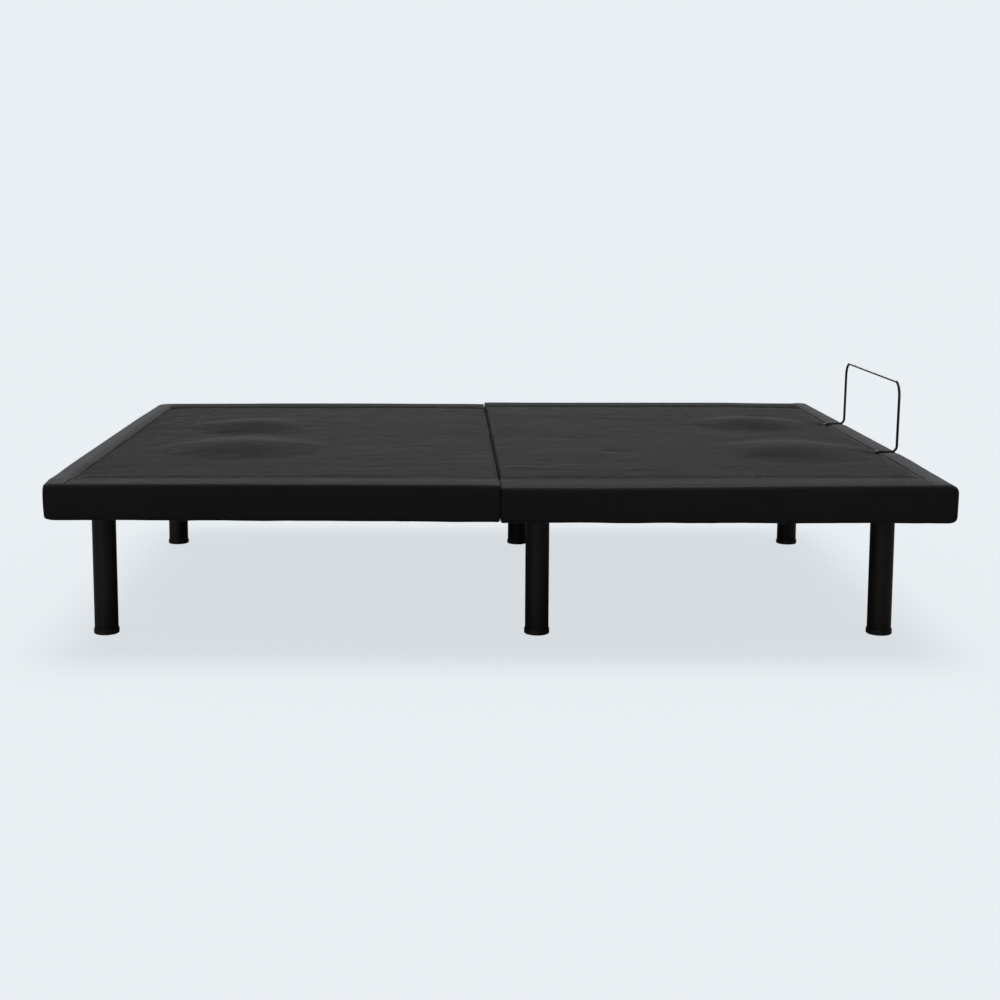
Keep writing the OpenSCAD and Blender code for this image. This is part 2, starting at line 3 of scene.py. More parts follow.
import bmesh
import bpy
import numpy as np
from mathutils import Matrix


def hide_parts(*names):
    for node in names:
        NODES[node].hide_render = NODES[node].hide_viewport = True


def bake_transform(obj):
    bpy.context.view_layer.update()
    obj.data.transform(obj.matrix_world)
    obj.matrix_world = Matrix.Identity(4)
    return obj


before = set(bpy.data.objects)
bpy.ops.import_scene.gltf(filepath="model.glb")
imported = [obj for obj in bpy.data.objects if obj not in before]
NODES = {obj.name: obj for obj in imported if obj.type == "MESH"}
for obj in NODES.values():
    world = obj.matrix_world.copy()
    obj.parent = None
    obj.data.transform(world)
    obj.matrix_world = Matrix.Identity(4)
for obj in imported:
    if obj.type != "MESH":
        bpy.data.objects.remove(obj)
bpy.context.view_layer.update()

scene = bpy.context.scene
scene.view_settings.view_transform = "Standard"


# ---------------------------------------------------------------- camera
SENSOR, LENS = 36.0, 57.83              # millimetres
SHIFT_X, SHIFT_Y = 0.0592, -0.0807
EYE = (-0.1228, -4.2313, 0.9923)        # in front of the long side at -y, a metre up
PITCH = 7.41                            # degrees that it looks down
TURN = 0.0025                           # radians that it turns to the left
FLOOR_SIZE = 60.0                       # the floor's side, and how far the camera sees

cam_data = bpy.data.cameras.new("camera")
cam_data.sensor_width = SENSOR
cam_data.lens = LENS
cam_data.shift_x, cam_data.shift_y = SHIFT_X, SHIFT_Y
cam_data.clip_end = FLOOR_SIZE
cam = bpy.data.objects.new("camera", cam_data)
cam.location = EYE
cam.rotation_euler = (math.radians(90.0 - PITCH), 0.0, TURN)
scene.collection.objects.link(cam)
scene.camera = cam


# ---------------------------------------------------------------- material helpers
def rgba(c):
    return (*c, 1.0) if len(c) == 3 else c


def grey(v):
    return (v, v, v)


BLACK, WHITE = grey(0.0), grey(1.0)


class Tree:
    """A material with a Principled shader, and short names for building its nodes."""

    def __init__(self, name):
        self.mat = bpy.data.materials.new(name)
        self.mat.use_nodes = True
        self.t = self.mat.node_tree
        self.t.nodes.clear()
        self.out = self.t.nodes.new("ShaderNodeOutputMaterial")
        self.bsdf = self.t.nodes.new("ShaderNodeBsdfPrincipled")
        self.link(self.bsdf.outputs[0], self.out.inputs[0])

    def link(self, a, b):
        self.t.links.new(a, b)

    def put(self, value, socket):
        """Links a socket, or sets a plain value."""
        if isinstance(value, bpy.types.NodeSocket):
            self.link(value, socket)
        else:
            socket.default_value = value

    def node(self, kind, **props):
        n = self.t.nodes.new(kind)
        for k, v in props.items():
            setattr(n, k, v)
        return n

    def math(self, op, a, b=0.0, c=None, clamp=False):
        n = self.node("ShaderNodeMath", operation=op, use_clamp=clamp)
        self.put(a, n.inputs[0])
        self.put(b, n.inputs[1])
        if c is not None:
            self.put(c, n.inputs[2])
        return n.outputs[0]

    def noise(self, vec, scale, detail=2.0, rough=0.5, distort=0.0):
        n = self.node("ShaderNodeTexNoise")
        self.link(vec, n.inputs["Vector"])
        n.inputs["Scale"].default_value = scale
        n.inputs["Detail"].default_value = detail
        n.inputs["Roughness"].default_value = rough
        n.inputs["Distortion"].default_value = distort
        return n.outputs["Fac"]

    def voronoi(self, vec, scale, out="Distance"):
        n = self.node("ShaderNodeTexVoronoi")
        self.link(vec, n.inputs["Vector"])
        n.inputs["Scale"].default_value = scale
        return n.outputs[out]

    def wave(self, vec, scale, axis, distort):
        n = self.node("ShaderNodeTexWave", bands_direction=axis)
        self.link(vec, n.inputs["Vector"])
        n.inputs["Scale"].default_value = scale
        n.inputs["Distortion"].default_value = distort
        return n.outputs["Fac"]

    def spots(self, fac, lo, hi):
        """Black below lo, white above hi."""
        n = self.node("ShaderNodeValToRGB")
        self.link(fac, n.inputs[0])
        first, last = n.color_ramp.elements
        first.position, first.color = lo, rgba(BLACK)
        last.position, last.color = hi, rgba(WHITE)
        return n.outputs[0]

    def remap(self, fac, lo, hi, out_lo=0.0, out_hi=1.0):
        n = self.node("ShaderNodeMapRange")
        self.put(fac, n.inputs[0])
        for i, v in enumerate((lo, hi, out_lo, out_hi)):
            n.inputs[i + 1].default_value = v
        return n.outputs[0]

    def mix(self, fac, a, b):
        n = self.node("ShaderNodeMix", data_type="RGBA")
        self.put(fac, n.inputs[0])
        self.put(rgba(a) if isinstance(a, tuple) else a, n.inputs[6])
        self.put(rgba(b) if isinstance(b, tuple) else b, n.inputs[7])
        return n.outputs[2]

    def scaled(self, vec, xyz):
        n = self.node("ShaderNodeMapping")
        self.link(vec, n.inputs[0])
        n.inputs["Scale"].default_value = xyz
        return n.outputs[0]

    def coords(self, kind="Object"):
        return self.node("ShaderNodeTexCoord").outputs[kind]

    def split(self, kind, vec, part):
        """One channel of a colour or one axis of a vector."""
        n = self.node(kind)
        self.link(vec, n.inputs[0])
        return n.outputs[part]

    def attr(self, name):
        return self.node("ShaderNodeAttribute", attribute_name=name).outputs["Fac"]

    def bump(self, height, dist, strength=1.0, normal=None):
        n = self.node("ShaderNodeBump")
        self.link(height, n.inputs["Height"])
        n.inputs["Distance"].default_value = dist
        n.inputs["Strength"].default_value = strength
        if normal is not None:
            self.link(normal, n.inputs["Normal"])
        return n.outputs[0]

    def set(self, **kw):
        """Shader inputs by name, with _ for a space."""
        for k, v in kw.items():
            self.put(v, self.bsdf.inputs[k.replace("_", " ")])


def assign(name, mat):
    """Gives a carried-over CAD node its material."""
    o = NODES[name]
    o.data.materials.clear()
    o.data.materials.append(mat)


# ---------------------------------------------------------------- materials
KNIT_PAINTED_LIGHT = (0.088, 0.088, 0.0915)      # painted light on the end bands' tops, and the colour of the painted highlight lines along the other sides
KNIT_HOLLOW_SHADE = (0.004, 0.004, 0.0042)    # painted shade in the hollows between the loops
KNIT_TINT = 0.70                        # of the sheen
STITCH_AT, STITCH_HALF = 0.0075, 0.0009   # the row of stitches outside the sewn line, metres
STITCHES = 230.0                        # in a metre of the seam
STITCH_SHARE = 0.68                     # of its pitch that one stitch covers


def knit(name, colour, sheen):
    """Stretch knit: fine ribs of loops with painted shade between them, heathering, lint, a
    grazing sheen, painted light on the end bands' tops, painted highlight lines along the long
    sides, and the row of stitches that runs along the border band's inner edge. Its coordinates
    are metres of cloth, and its attributes are those that add_attributes() writes."""
    t = Tree(name)
    uv = t.coords("UV")
    loops = t.math("MULTIPLY", t.wave(uv, 420.0, "X", 1.2), t.wave(uv, 560.0, "Y", 1.2))
    yarn = t.noise(t.scaled(uv, (900.0, 1300.0, 1.0)), 1.0, 2.0)
    heather = t.noise(t.scaled(uv, (60.0, 420.0, 1.0)), 1.0, 4.0, 0.65)
    patch = t.noise(uv, 3.2, 4.0, 0.6)
    rumple = t.noise(t.scaled(uv, (30.0, 55.0, 1.0)), 1.0, 5.0, 0.6)
    lint = t.spots(t.noise(t.scaled(uv, (150.0, 210.0, 1.0)), 1.0, 3.0, 0.7), 0.70, 0.80)
    # the sewn line, pressed in, and its stitches
    end = t.attr("end")
    pressed = t.remap(t.math("ABSOLUTE", end), 0.0, 0.0035, 1.0, 0.0)
    beside = t.math("COMPARE", t.attr("seam"), STITCH_AT, STITCH_HALF)
    pitch = t.math("FRACT", t.math("MULTIPLY", t.attr("run"), STITCHES))
    stitch = t.math("MULTIPLY", beside, t.math("LESS_THAN", pitch, STITCH_SHARE))
    # colour
    # painted light: the end bands' tops made lighter, plus painted highlight lines along the long
    # sides
    pale = t.math("MULTIPLY", t.attr("pale"), t.remap(end, 0.0015, 0.0045))
    pale = t.math("ADD", pale, t.attr("painted_highlight"), clamp=True)
    # the knit's loops, with painted shade in the hollows between them
    col = t.mix(t.math("MULTIPLY", loops, 0.30), colour, KNIT_HOLLOW_SHADE)
    col = t.mix(pale, col, KNIT_PAINTED_LIGHT)
    col = t.mix(t.math("MULTIPLY", lint, 0.10), col, grey(0.16))
    col = t.mix(t.math("MULTIPLY", stitch, 0.35), col, grey(0.08))
    tone = t.math("MULTIPLY", t.remap(heather, 0.25, 0.75, 0.88, 1.12),
                  t.remap(patch, 0.3, 0.7, 0.93, 1.07))
    toned = t.node("ShaderNodeVectorMath", operation="SCALE")
    t.put(col, toned.inputs[0])
    t.put(tone, toned.inputs["Scale"])
    # relief
    weave = t.math("ADD", t.math("MULTIPLY", loops, -0.7), t.math("MULTIPLY", yarn, 0.5))
    normal = t.bump(pressed, -0.0030, 0.9)
    normal = t.bump(weave, 0.0003, 0.55, normal)
    normal = t.bump(stitch, 0.0006, 0.8, normal)
    normal = t.bump(rumple, 0.0012, 0.30, normal)
    t.set(Base_Color=toned.outputs[0], Normal=normal,
          Roughness=t.remap(heather, 0.2, 0.8, 0.78, 0.95),
          Specular_IOR_Level=0.03, Sheen_Weight=sheen, Sheen_Roughness=0.13,
          Sheen_Tint=(KNIT_TINT, KNIT_TINT, KNIT_TINT * 1.03, 1.0))
    return t.mat


def powder(name, base, rough, grain=1400.0, peel=0.00012, scuff=0.10):
    """Powder coat: orange peel, faint mottling and a few rubbed places."""
    t = Tree(name)
    p = t.coords()
    fine = t.noise(p, grain, 2.0, 0.6)
    bubbles = t.noise(p, 260.0, 2.0, 0.5)
    cloud = t.noise(p, 9.0, 4.0, 0.6)
    rub = t.spots(t.noise(t.scaled(p, (14.0, 14.0, 3.0)), 3.0, 6.0, 0.7), 0.60, 0.78)
    lighter = tuple(min(1.0, c * 2.6 + 0.01) for c in base)
    col = t.mix(t.remap(cloud, 0.3, 0.7, 0.0, 0.22), base, lighter)
    col = t.mix(t.math("MULTIPLY", rub, scuff), col, grey(0.12))
    height = t.math("ADD", t.math("MULTIPLY", fine, 0.35), bubbles)
    gloss = t.math("ADD", t.remap(cloud, 0.3, 0.7, rough - 0.05, rough + 0.07),
                   t.math("MULTIPLY", rub, 0.12))
    t.set(Base_Color=col, Normal=t.bump(height, peel, 0.6), Roughness=gloss,
          Specular_IOR_Level=0.32)
    return t.mat


def zinc(name):
    """Zinc plate: dull spangle and fine scratches."""
    t = Tree(name)
    p = t.coords()
    spangle = t.split("ShaderNodeSeparateColor", t.voronoi(p, 130.0, "Color"), 0)
    cloud = t.noise(p, 40.0, 4.0, 0.6)
    scratch = t.noise(t.scaled(p, (60.0, 900.0, 900.0)), 1.0, 3.0, 0.6)
    col = t.mix(t.remap(cloud, 0.3, 0.7), (0.34, 0.345, 0.36), (0.56, 0.565, 0.58))
    t.set(Base_Color=col, Normal=t.bump(scratch, 0.00008, 0.5), Metallic=1.0,
          Roughness=t.remap(spangle, 0.0, 1.0, 0.30, 0.46))
    return t.mat


def polished(name):
    """Ground rod: tight turning rings and a thin grease film."""
    t = Tree(name)
    p = t.coords()
    rings = t.noise(t.scaled(p, (2600.0, 30.0, 30.0)), 1.0, 2.0, 0.6)
    film = t.noise(p, 34.0, 4.0, 0.65)
    col = t.mix(t.remap(film, 0.4, 0.8), (0.66, 0.67, 0.69), (0.46, 0.45, 0.42))
    t.set(Base_Color=col, Normal=t.bump(rings, 0.00002, 0.5), Metallic=1.0,
          Roughness=t.remap(film, 0.3, 0.8, 0.12, 0.34))
    return t.mat


def anodised(name):
    """Grey anodised tube with drawing lines along it."""
    t = Tree(name)
    p = t.coords()
    lines = t.noise(t.scaled(p, (14.0, 1500.0, 1500.0)), 1.0, 3.0, 0.6)
    cloud = t.noise(p, 12.0, 4.0, 0.6)
    col = t.mix(t.remap(cloud, 0.3, 0.7), (0.22, 0.225, 0.235), (0.30, 0.305, 0.315))
    t.set(Base_Color=col, Normal=t.bump(lines, 0.00005, 0.5), Metallic=0.85,
          Roughness=t.remap(lines, 0.3, 0.7, 0.34, 0.46))
    return t.mat


def plastic(name, base, rough=0.52, spark=1100.0):
    """Moulded plastic with a spark-eroded texture."""
    t = Tree(name)
    p = t.coords()
    fine = t.voronoi(p, spark)
    cloud = t.noise(p, 22.0, 4.0, 0.55)
    lighter = tuple(min(1.0, c * 1.6 + 0.004) for c in base)
    t.set(Base_Color=t.mix(t.remap(cloud, 0.3, 0.7), base, lighter),
          Normal=t.bump(fine, 0.00012, 0.5), Specular_IOR_Level=0.45,
          Roughness=t.remap(cloud, 0.3, 0.7, rough - 0.05, rough + 0.08))
    return t.mat


def plywood(name):
    """Birch plywood: long face grain, and veneer layers where an edge shows."""
    t = Tree(name)
    p = t.coords()
    grain = t.noise(t.scaled(p, (5.0, 120.0, 60.0)), 1.0, 6.0, 0.6, 0.6)
    flame = t.wave(t.scaled(p, (1.2, 9.0, 9.0)), 2.4, "Y", 7.0)
    pores = t.noise(t.scaled(p, (40.0, 1400.0, 900.0)), 1.0, 2.0, 0.5)
    layers = t.wave(p, 115.0, "Z", 0.25)
    facing = t.node("ShaderNodeNewGeometry").outputs["True Normal"]
    upright = t.split("ShaderNodeSeparateXYZ", facing, "Z")
    flat = t.math("GREATER_THAN", t.math("ABSOLUTE", upright), 0.6)
    face = t.mix(grain, (0.36, 0.245, 0.135), (0.56, 0.42, 0.26))
    face = t.mix(t.math("MULTIPLY", flame, 0.22), face, (0.30, 0.19, 0.10))
    face = t.mix(t.remap(pores, 0.62, 0.75, 0.0, 0.35), face, (0.22, 0.14, 0.08))
    edge = t.mix(layers, (0.24, 0.15, 0.085), (0.50, 0.37, 0.22))
    height = t.math("ADD", t.math("MULTIPLY", grain, 0.6), t.math("MULTIPLY", pores, 0.5))
    t.set(Base_Color=t.mix(flat, edge, face), Normal=t.bump(height, 0.0002, 0.5),
          Specular_IOR_Level=0.3, Roughness=t.remap(grain, 0.2, 0.8, 0.58, 0.74))
    return t.mat


FABRIC = knit("knit_fabric", (0.018, 0.018, 0.0182), 0.90)
BAND = knit("knit_band", (0.020, 0.020, 0.0206), 0.90)
# painted shade: a darker knit without sheen, for the walls at the split where shade falls
SPLIT_SHADE = knit("knit_painted_split_shade", (0.008, 0.008, 0.0082), 0.0)
STEEL = powder("frame_powder_coat", grey(0.018), 0.45)
LEG = powder("leg_enamel", grey(0.007), 0.36, 900.0, 0.00006, 0.05)
BAR = powder("bar_powder_coat", grey(0.010), 0.24, 1600.0, 0.00003, 0.05)
ZINC = zinc("zinc_plate")
ROD = polished("ground_rod")
TUBE = anodised("anodised_tube")
HOUSING = plastic("black_moulding", grey(0.020))
LID = plastic("grey_moulding", grey(0.085), 0.48)
GLIDE = plastic("glide_moulding", grey(0.010), 0.38, 700.0)
PLY = plywood("birch_plywood")

MATERIAL_OF = {
    STEEL: ["frame_head_half", "frame_foot_half", "leg_sockets", "seat_rails",
            "actuator_brackets", "head_subframe", "thigh_subframe", "foot_subframe",
            "foot_struts"],
    LEG: ["leg_head_front", "leg_head_rear", "leg_mid_front", "leg_mid_rear",
          "leg_foot_front", "leg_foot_rear", "mid_leg_spacers"],
    BAR: ["retainer_bar"],
    ZINC: ["splice_plates", "splice_bolts", "leg_studs", "head_hinge_pins",
           "thigh_hinge_pins", "strut_pivot_studs", "knee_pins", "retainer_brackets",
           "foot_strut_pins"],
    ROD: ["head_rod", "foot_rod"],
    TUBE: ["head_actuator_tube", "foot_actuator_tube"],
    HOUSING: ["head_actuator_gearbox", "foot_actuator_gearbox", "control_box",
              "power_supply", "head_massage_motors", "foot_massage_motors"],
    LID: ["control_box_lid"],
    GLIDE: ["leg_glides"],
    PLY: ["seat_board_head", "seat_board_foot", "head_board", "thigh_board", "foot_board",
          "seat_border_head", "seat_border_foot", "head_border", "thigh_border",
          "foot_border"],
}
for material, names in MATERIAL_OF.items():
    for node_name in names:
        assign(node_name, material)


# ---------------------------------------------------------------- curves and noise in numpy
LATTICE = 256                           # cells before the noise repeats


def lattice(seed):
    return np.random.default_rng(seed).random((LATTICE, LATTICE)) * 2.0 - 1.0


def quintic(f):
    return f * f * f * (f * (f * 6 - 15) + 10)


def value_noise(x, y, table):
    """Smooth noise from -1 to 1 at lattice pitch 1."""
    xi, yi = np.floor(x).astype(int), np.floor(y).astype(int)
    fx, fy = quintic(x - xi), quintic(y - yi)
    a = table[xi % LATTICE, yi % LATTICE]
    b = table[(xi + 1) % LATTICE, yi % LATTICE]
    c = table[xi % LATTICE, (yi + 1) % LATTICE]
    d = table[(xi + 1) % LATTICE, (yi + 1) % LATTICE]
    return (a * (1 - fx) + b * fx) * (1 - fy) + (c * (1 - fx) + d * fx) * fy


def fractal(x, y, seed, octaves=3):
    """Noise whose every octave is twice as fine and half as strong, and shifted a little."""
    total = np.zeros_like(x)
    for k in range(octaves):
        total += 0.5 ** k * value_noise(x * 2 ** k + 17.3 * k, y * 2 ** k - 9.1 * k,
                                        lattice(seed + k))
    return total


def smooth(x, lo, hi):
    """0 below lo, 1 above hi, with an S between them."""
    t = np.clip((x - lo) / (hi - lo), 0.0, 1.0)
    return t * t * (3 - 2 * t)


def bell(x, centre, width):
    return np.exp(-((x - centre) / width) ** 2)


# ---------------------------------------------------------------- upholstery: outline
# Metres throughout. Each half is a round-cornered block of cloth, open below.
TOP, BOTTOM = 0.392, 0.315
HALF_X, HALF_Y = 1.010, 0.757
GAP = 0.0008                            # from the plane x = 0 to each half
INSET = 0.040                           # the flat grid ends this far inside the edge
STEP = 0.013                            # grid pitch before subdivision
SEAM_X, SEAM_Y = 0.960, 0.652           # where the border band is sewn to the main panel
LONG_SIDE, HEAD_END, FOOT_END, SPLIT_SIDE = 0.009, 0.009, 0.014, 0.0030   # top edge radii
HEM, SPLIT_HEM = 0.011, 0.006           # lower edge radii
TAPER = 0.0012                          # how far the walls lean in on their way down
LIP = 0.0004                            # how far the outer walls stand out of the block
FOLD_END = 0.008                        # where the fold ends, outside the flat grid's edge
CORNER, SPLIT_CORNER = 0.50, 0.12       # corner radii as a share of the way out
SPLIT_ZONE = 0.1                        # a corner this near x = 0 is at the split
ROLL_STEPS, WALL_STEPS, HEM_STEPS, FOLD_STEPS = 5, 5, 3, 3
ARC_STEPS = 6


def profile(roll, split):
    """Points (outward, height) over the edge to the fold underneath; split is 1 at the seam
    between the halves, where the wall hangs plumb, and 0 elsewhere."""
    hem = HEM + (SPLIT_HEM - HEM) * split
    taper = TAPER * (1 - split)
    out = INSET + LIP * (1 - split)
    flat = out - roll
    pts = [(flat * part, TOP) for part in (0.45, 0.90, 1.0)]
    for k in range(1, ROLL_STEPS + 1):
        a = math.radians(90 - 90 / ROLL_STEPS * k)
        pts.append((flat + roll * math.cos(a), TOP - roll + roll * math.sin(a)))
    z0, z1 = TOP - roll, BOTTOM + hem
    for k in range(1, WALL_STEPS + 1):
        pts.append((out - taper * k / WALL_STEPS, z0 + (z1 - z0) * k / WALL_STEPS))
    d = out - taper - hem
    for k in range(1, HEM_STEPS + 1):
        a = math.radians(-90 / HEM_STEPS * k)
        pts.append((d + hem * math.cos(a), z1 + hem * math.sin(a)))
    for k in range(1, FOLD_STEPS + 1):
        pts.append((d - (d - FOLD_END) * k / FOLD_STEPS, BOTTOM + 0.0006 * k))
    return pts


def rim_points(xs, ys, at):
    """The way round the flat grid, with a round corner at each of its four. Each item is the
    grid vertex it hangs from, that vertex's place, (roll, split) for its profile, and a
    function from (distance out, corner radius) to its own place."""
    nx, ny = len(xs) - 1, len(ys) - 1
    split_right = abs(xs[-1]) < abs(xs[0])
    ways = [(0, -1), (1, 0), (0, 1), (-1, 0)]
    split = [0.0, float(split_right), 0.0, float(not split_right)]
    rolls = [LONG_SIDE, SPLIT_SIDE if split_right else FOOT_END,
             LONG_SIDE, HEAD_END if split_right else SPLIT_SIDE]
    sides = [[(i, 0) for i in range(1, nx)], [(nx, j) for j in range(1, ny)],
             [(i, ny) for i in range(nx - 1, 0, -1)], [(0, j) for j in range(ny - 1, 0, -1)]]
    corners = [(nx, 0), (nx, ny), (0, ny), (0, 0)]
    rim = []

    def add(i, j, roll, weight, place):
        rim.append((at(i, j), xs[i], ys[j], (roll, weight), place))

    def straight(way, side_way, part):
        return lambda d, rc: (way[0] * d + side_way[0] * part * (d - rc),
                              way[1] * d + side_way[1] * part * (d - rc))

    def arc(way, next_way, angle):
        c, s = math.cos(angle), math.sin(angle)
        return lambda d, rc: ((way[0] + next_way[0]) * (d - rc) + c * rc,
                              (way[1] + next_way[1]) * (d - rc) + s * rc)

    for a in range(4):
        b = (a + 1) % 4
        for i, j in sides[a]:
            add(i, j, rolls[a], split[a], straight(ways[a], ways[b], 0.0))
        i, j = corners[a]
        for part in (0.0, 0.5):
            add(i, j, rolls[a], split[a], straight(ways[a], ways[b], part))
        start = math.atan2(ways[a][1], ways[a][0])
        for k in range(ARC_STEPS + 1):
            f = k / ARC_STEPS
            add(i, j, rolls[a] * (1 - f) + rolls[b] * f, split[a] * (1 - f) + split[b] * f,
                arc(ways[a], ways[b], start + math.radians(90 * f)))
        for part in (0.5, 0.0):
            add(i, j, rolls[b], split[b], straight(ways[b], ways[a], part))
    return rim


def block(x0, x1):
    """Vertices and faces of one upholstered half between x0 and x1: a flat grid, then rings
    that follow the profile over the edge and down."""
    ax0, ax1, ay = x0 + INSET, x1 - INSET, HALF_Y - INSET
    nx, ny = round((ax1 - ax0) / STEP), round(2 * ay / STEP)
    xs, ys = np.linspace(ax0, ax1, nx + 1), np.linspace(-ay, ay, ny + 1)
    gx, gy = np.meshgrid(xs, ys, indexing="ij")
    verts = [np.stack([gx.ravel(), gy.ravel(), np.full(gx.size, TOP)], 1)]

    def at(i, j):
        return i * (ny + 1) + j

    faces = [(at(i, j), at(i + 1, j), at(i + 1, j + 1), at(i, j + 1))
             for i in range(nx) for j in range(ny)]
    rim = rim_points(xs, ys, at)
    n, base = len(rim), gx.size
    rows = [profile(*item[3]) for item in rim]
    for r in range(len(rows[0])):
        ring = []
        for row, (_, x, y, _, place) in zip(rows, rim):
            d, z = row[r]
            dx, dy = place(d, (SPLIT_CORNER if abs(x) < SPLIT_ZONE else CORNER) * d)
            ring.append((x + dx, y + dy, z))
        verts.append(np.array(ring))
    for k in range(n):
        a, b = rim[k][0], rim[(k + 1) % n][0]
        c, d = base + (k + 1) % n, base + k
        faces.append((a, d, c) if a == b else (a, d, c, b))
    for r in range(len(rows[0]) - 1):
        o0, o1 = base + r * n, base + (r + 1) * n
        for k in range(n):
            faces.append((o0 + k, o1 + k, o1 + (k + 1) % n, o0 + (k + 1) % n))
    return np.concatenate(verts), faces


# ---------------------------------------------------------------- upholstery: relief
# The mounds that the massage motors make: x, y, radius and height.
MOUNDS = [(-0.638, -0.175, 0.230, 0.0155), (-0.656, 0.230, 0.180, 0.0130),
          (0.758, -0.236, 0.220, 0.0158), (0.748, 0.268, 0.175, 0.0135)]
# Lines pressed in across the top, the last three of them over the hinges: x and depth.
CROSS_LINES = [(-0.838, 0.0019), (0.582, 0.0019), (-0.240, 0.0003), (0.155, 0.0003)]
# Pulls in the cloth by the split, and a shallow dimple: x, y, both half widths and height.
PULLS = [(0.060, -0.500, 0.045, 0.018, 0.0014), (0.115, -0.545, 0.060, 0.010, -0.0011),
         (0.085, -0.470, 0.035, 0.010, -0.0009), (0.290, -0.250, 0.020, 0.016, -0.0022),
         (0.330, -0.520, 0.050, 0.012, 0.0012), (-0.330, -0.600, 0.090, 0.012, 0.0010)]
BAR_FEET = [(0.944, -0.266), (0.944, 0.266)]    # where the retainer bar goes into the seam
BAND_RISE = 0.0026                              # of the padded band over the sewn line


def groove(dist, width, depth):
    return -depth * bell(dist, 0.0, width)


def dome(x, y, cx, cy, radius, height):
    r2 = ((x - cx) ** 2 + (y - cy) ** 2) / radius ** 2
    return height * np.clip(1 - r2, 0, 1) ** 2.1


def seam_offsets(co):
    """How far outside the sewn line each point is, in x and in y; negative on the panel."""
    return np.abs(co[:, 0]) - SEAM_X, np.abs(co[:, 1]) - SEAM_Y


def seam_distance(co):
    return np.maximum(*seam_offsets(co))


def band_relief(x, ex, ey, edge, along):
    """A soft padded roll outside the sewn line, a groove at it and gathered pleats beside it.
    The groove is deepest at the ends, and faint along the foot half's sides."""
    at_end = smooth(ex - ey, -0.02, 0.02)
    h = smooth(edge, 0.0, 0.014) * BAND_RISE - BAND_RISE * smooth(-edge, -0.002, 0.02)
    h += groove(edge + 0.002, 0.0050, 0.0012 - 0.0006 * (x > 0) + 0.0024 * at_end)
    return h + 0.0006 * fractal(along * 55, edge * 12, 11, 2) * bell(edge, 0.0, 0.022)


def mound_relief(x, y):
    """The mounds, each with a few creases round its foot."""
    h = np.zeros_like(x)
    for cx, cy, radius, height in MOUNDS:
        h += dome(x, y, cx, cy, radius, height)
        r = np.hypot(x - cx, y - cy)
        h += 0.0010 * bell(r, 0.155, 0.05) * fractal(x * 14, y * 14, 23, 2)
    return h


def sheet_relief(x, y):
    """Inside the band: the lines across the top, long shallow waves of the stretched cloth,
    finer ridges near the long side at -y, and a fine unevenness."""
    h = np.zeros_like(x)
    for hx, amp in CROSS_LINES:
        d = x - hx - 0.0022 * value_noise(y * 7, y * 0 + hx * 50, lattice(41))
        keep = 0.55 + 0.45 * value_noise(y * 5, y * 0 + hx * 9, lattice(43))
        h += keep * (groove(d, 0.0040, amp) + groove(d - 0.012, 0.010, -amp * 0.35))
    h += 0.0009 * fractal(x * 2.1, y * 3.3, 61, 3)
    ridge = fractal(x * 6 + 0.6 * fractal(x * 3, y * 9, 71, 2), y * 34, 73, 2)
    h += smooth(-y, 0.30, 0.62) * 0.0004 * ridge
    return h + 0.00030 * fractal(x * 26, y * 30, 81, 3)


def bar_foot_relief(x, y, cx, cy):
    """Cloth puckered round one foot of the retainer bar, with a channel out to the edge."""
    h = -0.0068 * bell(y, cy, 0.012) * smooth(x, cx - 0.006, cx + 0.006)
    r = np.hypot(x - cx + 0.004, (y - cy) * 1.2)
    h += 0.0026 * bell(r, 0.018, 0.009) * smooth(cx - x, -0.010, 0.010)
    h -= 0.0052 * bell(r, 0.0, 0.010)
    return h - 0.0016 * bell(x, cx - 0.03, 0.03) * bell(y, cy, 0.014)


def shape_field(co, nrm):
    """How far each point stands out along its normal, in metres."""
    x, y, z = co.T
    up = smooth(nrm[:, 2], 0.2, 0.95)
    wall = 1 - smooth(np.abs(nrm[:, 2]), 0.3, 0.9)
    ex, ey = seam_offsets(co)
    along = np.where(ex > ey, y, x)
    edge = np.maximum(ex, ey) + 0.0014 * fractal(x * 9, y * 9, 5, 2)
    inner = 1 - smooth(edge, -0.03, 0.0)
    h = band_relief(x, ex, ey, edge, along) + mound_relief(x, y) + inner * sheet_relief(x, y)
    for cx, cy, sx, sy, amp in PULLS:
        h += amp * bell(x, cx, sx) * bell(y, cy, sy)
    for cx, cy in BAR_FEET:
        h += bar_foot_relief(x, y, cx, cy)
    h *= up
    # walls: slack between the edges, with soft upright waves
    mid = np.clip((TOP - z) * (z - BOTTOM) / 0.0015, 0, 1)
    h += wall * mid * (0.0007 + 0.0006 * fractal(along * 4, z * 6, 91, 3)
                       + 0.0003 * fractal(along * 30, z * 14, 95, 2))
    # hem: a little uneven from staple to staple
    low = smooth(BOTTOM + 0.03 - z, 0.0, 0.02)
    return h + low * 0.0007 * fractal(along * 11, z * 0, 99, 3)


def head_half_lie(x, y, high, low, end):
    """The head half lies lower than the other, with its end band standing up from it."""
    crown = 0.0026 * np.sin(np.pi * np.clip(-x / HALF_X, 0, 1)) ** 0.6
    front = smooth(-y, 0.700, HALF_Y)
    dz = high * (crown - 0.0024 + front * (0.0010 + 0.0012 * smooth(-x, 0.45, 0.80)))
    rise = 0.0050 + 0.0026 * smooth(-y, -0.70, -0.30) - 0.0018 * bell(y, -0.62, 0.08)
    corner = smooth(HALF_Y - np.abs(y), 0.0, 0.070)
    dz += high * rise * smooth(end, SEAM_X - 0.002, SEAM_X + 0.012) * corner
    return dz - low * (0.0012 + 0.0034 * smooth(x, -0.9, 0.0))


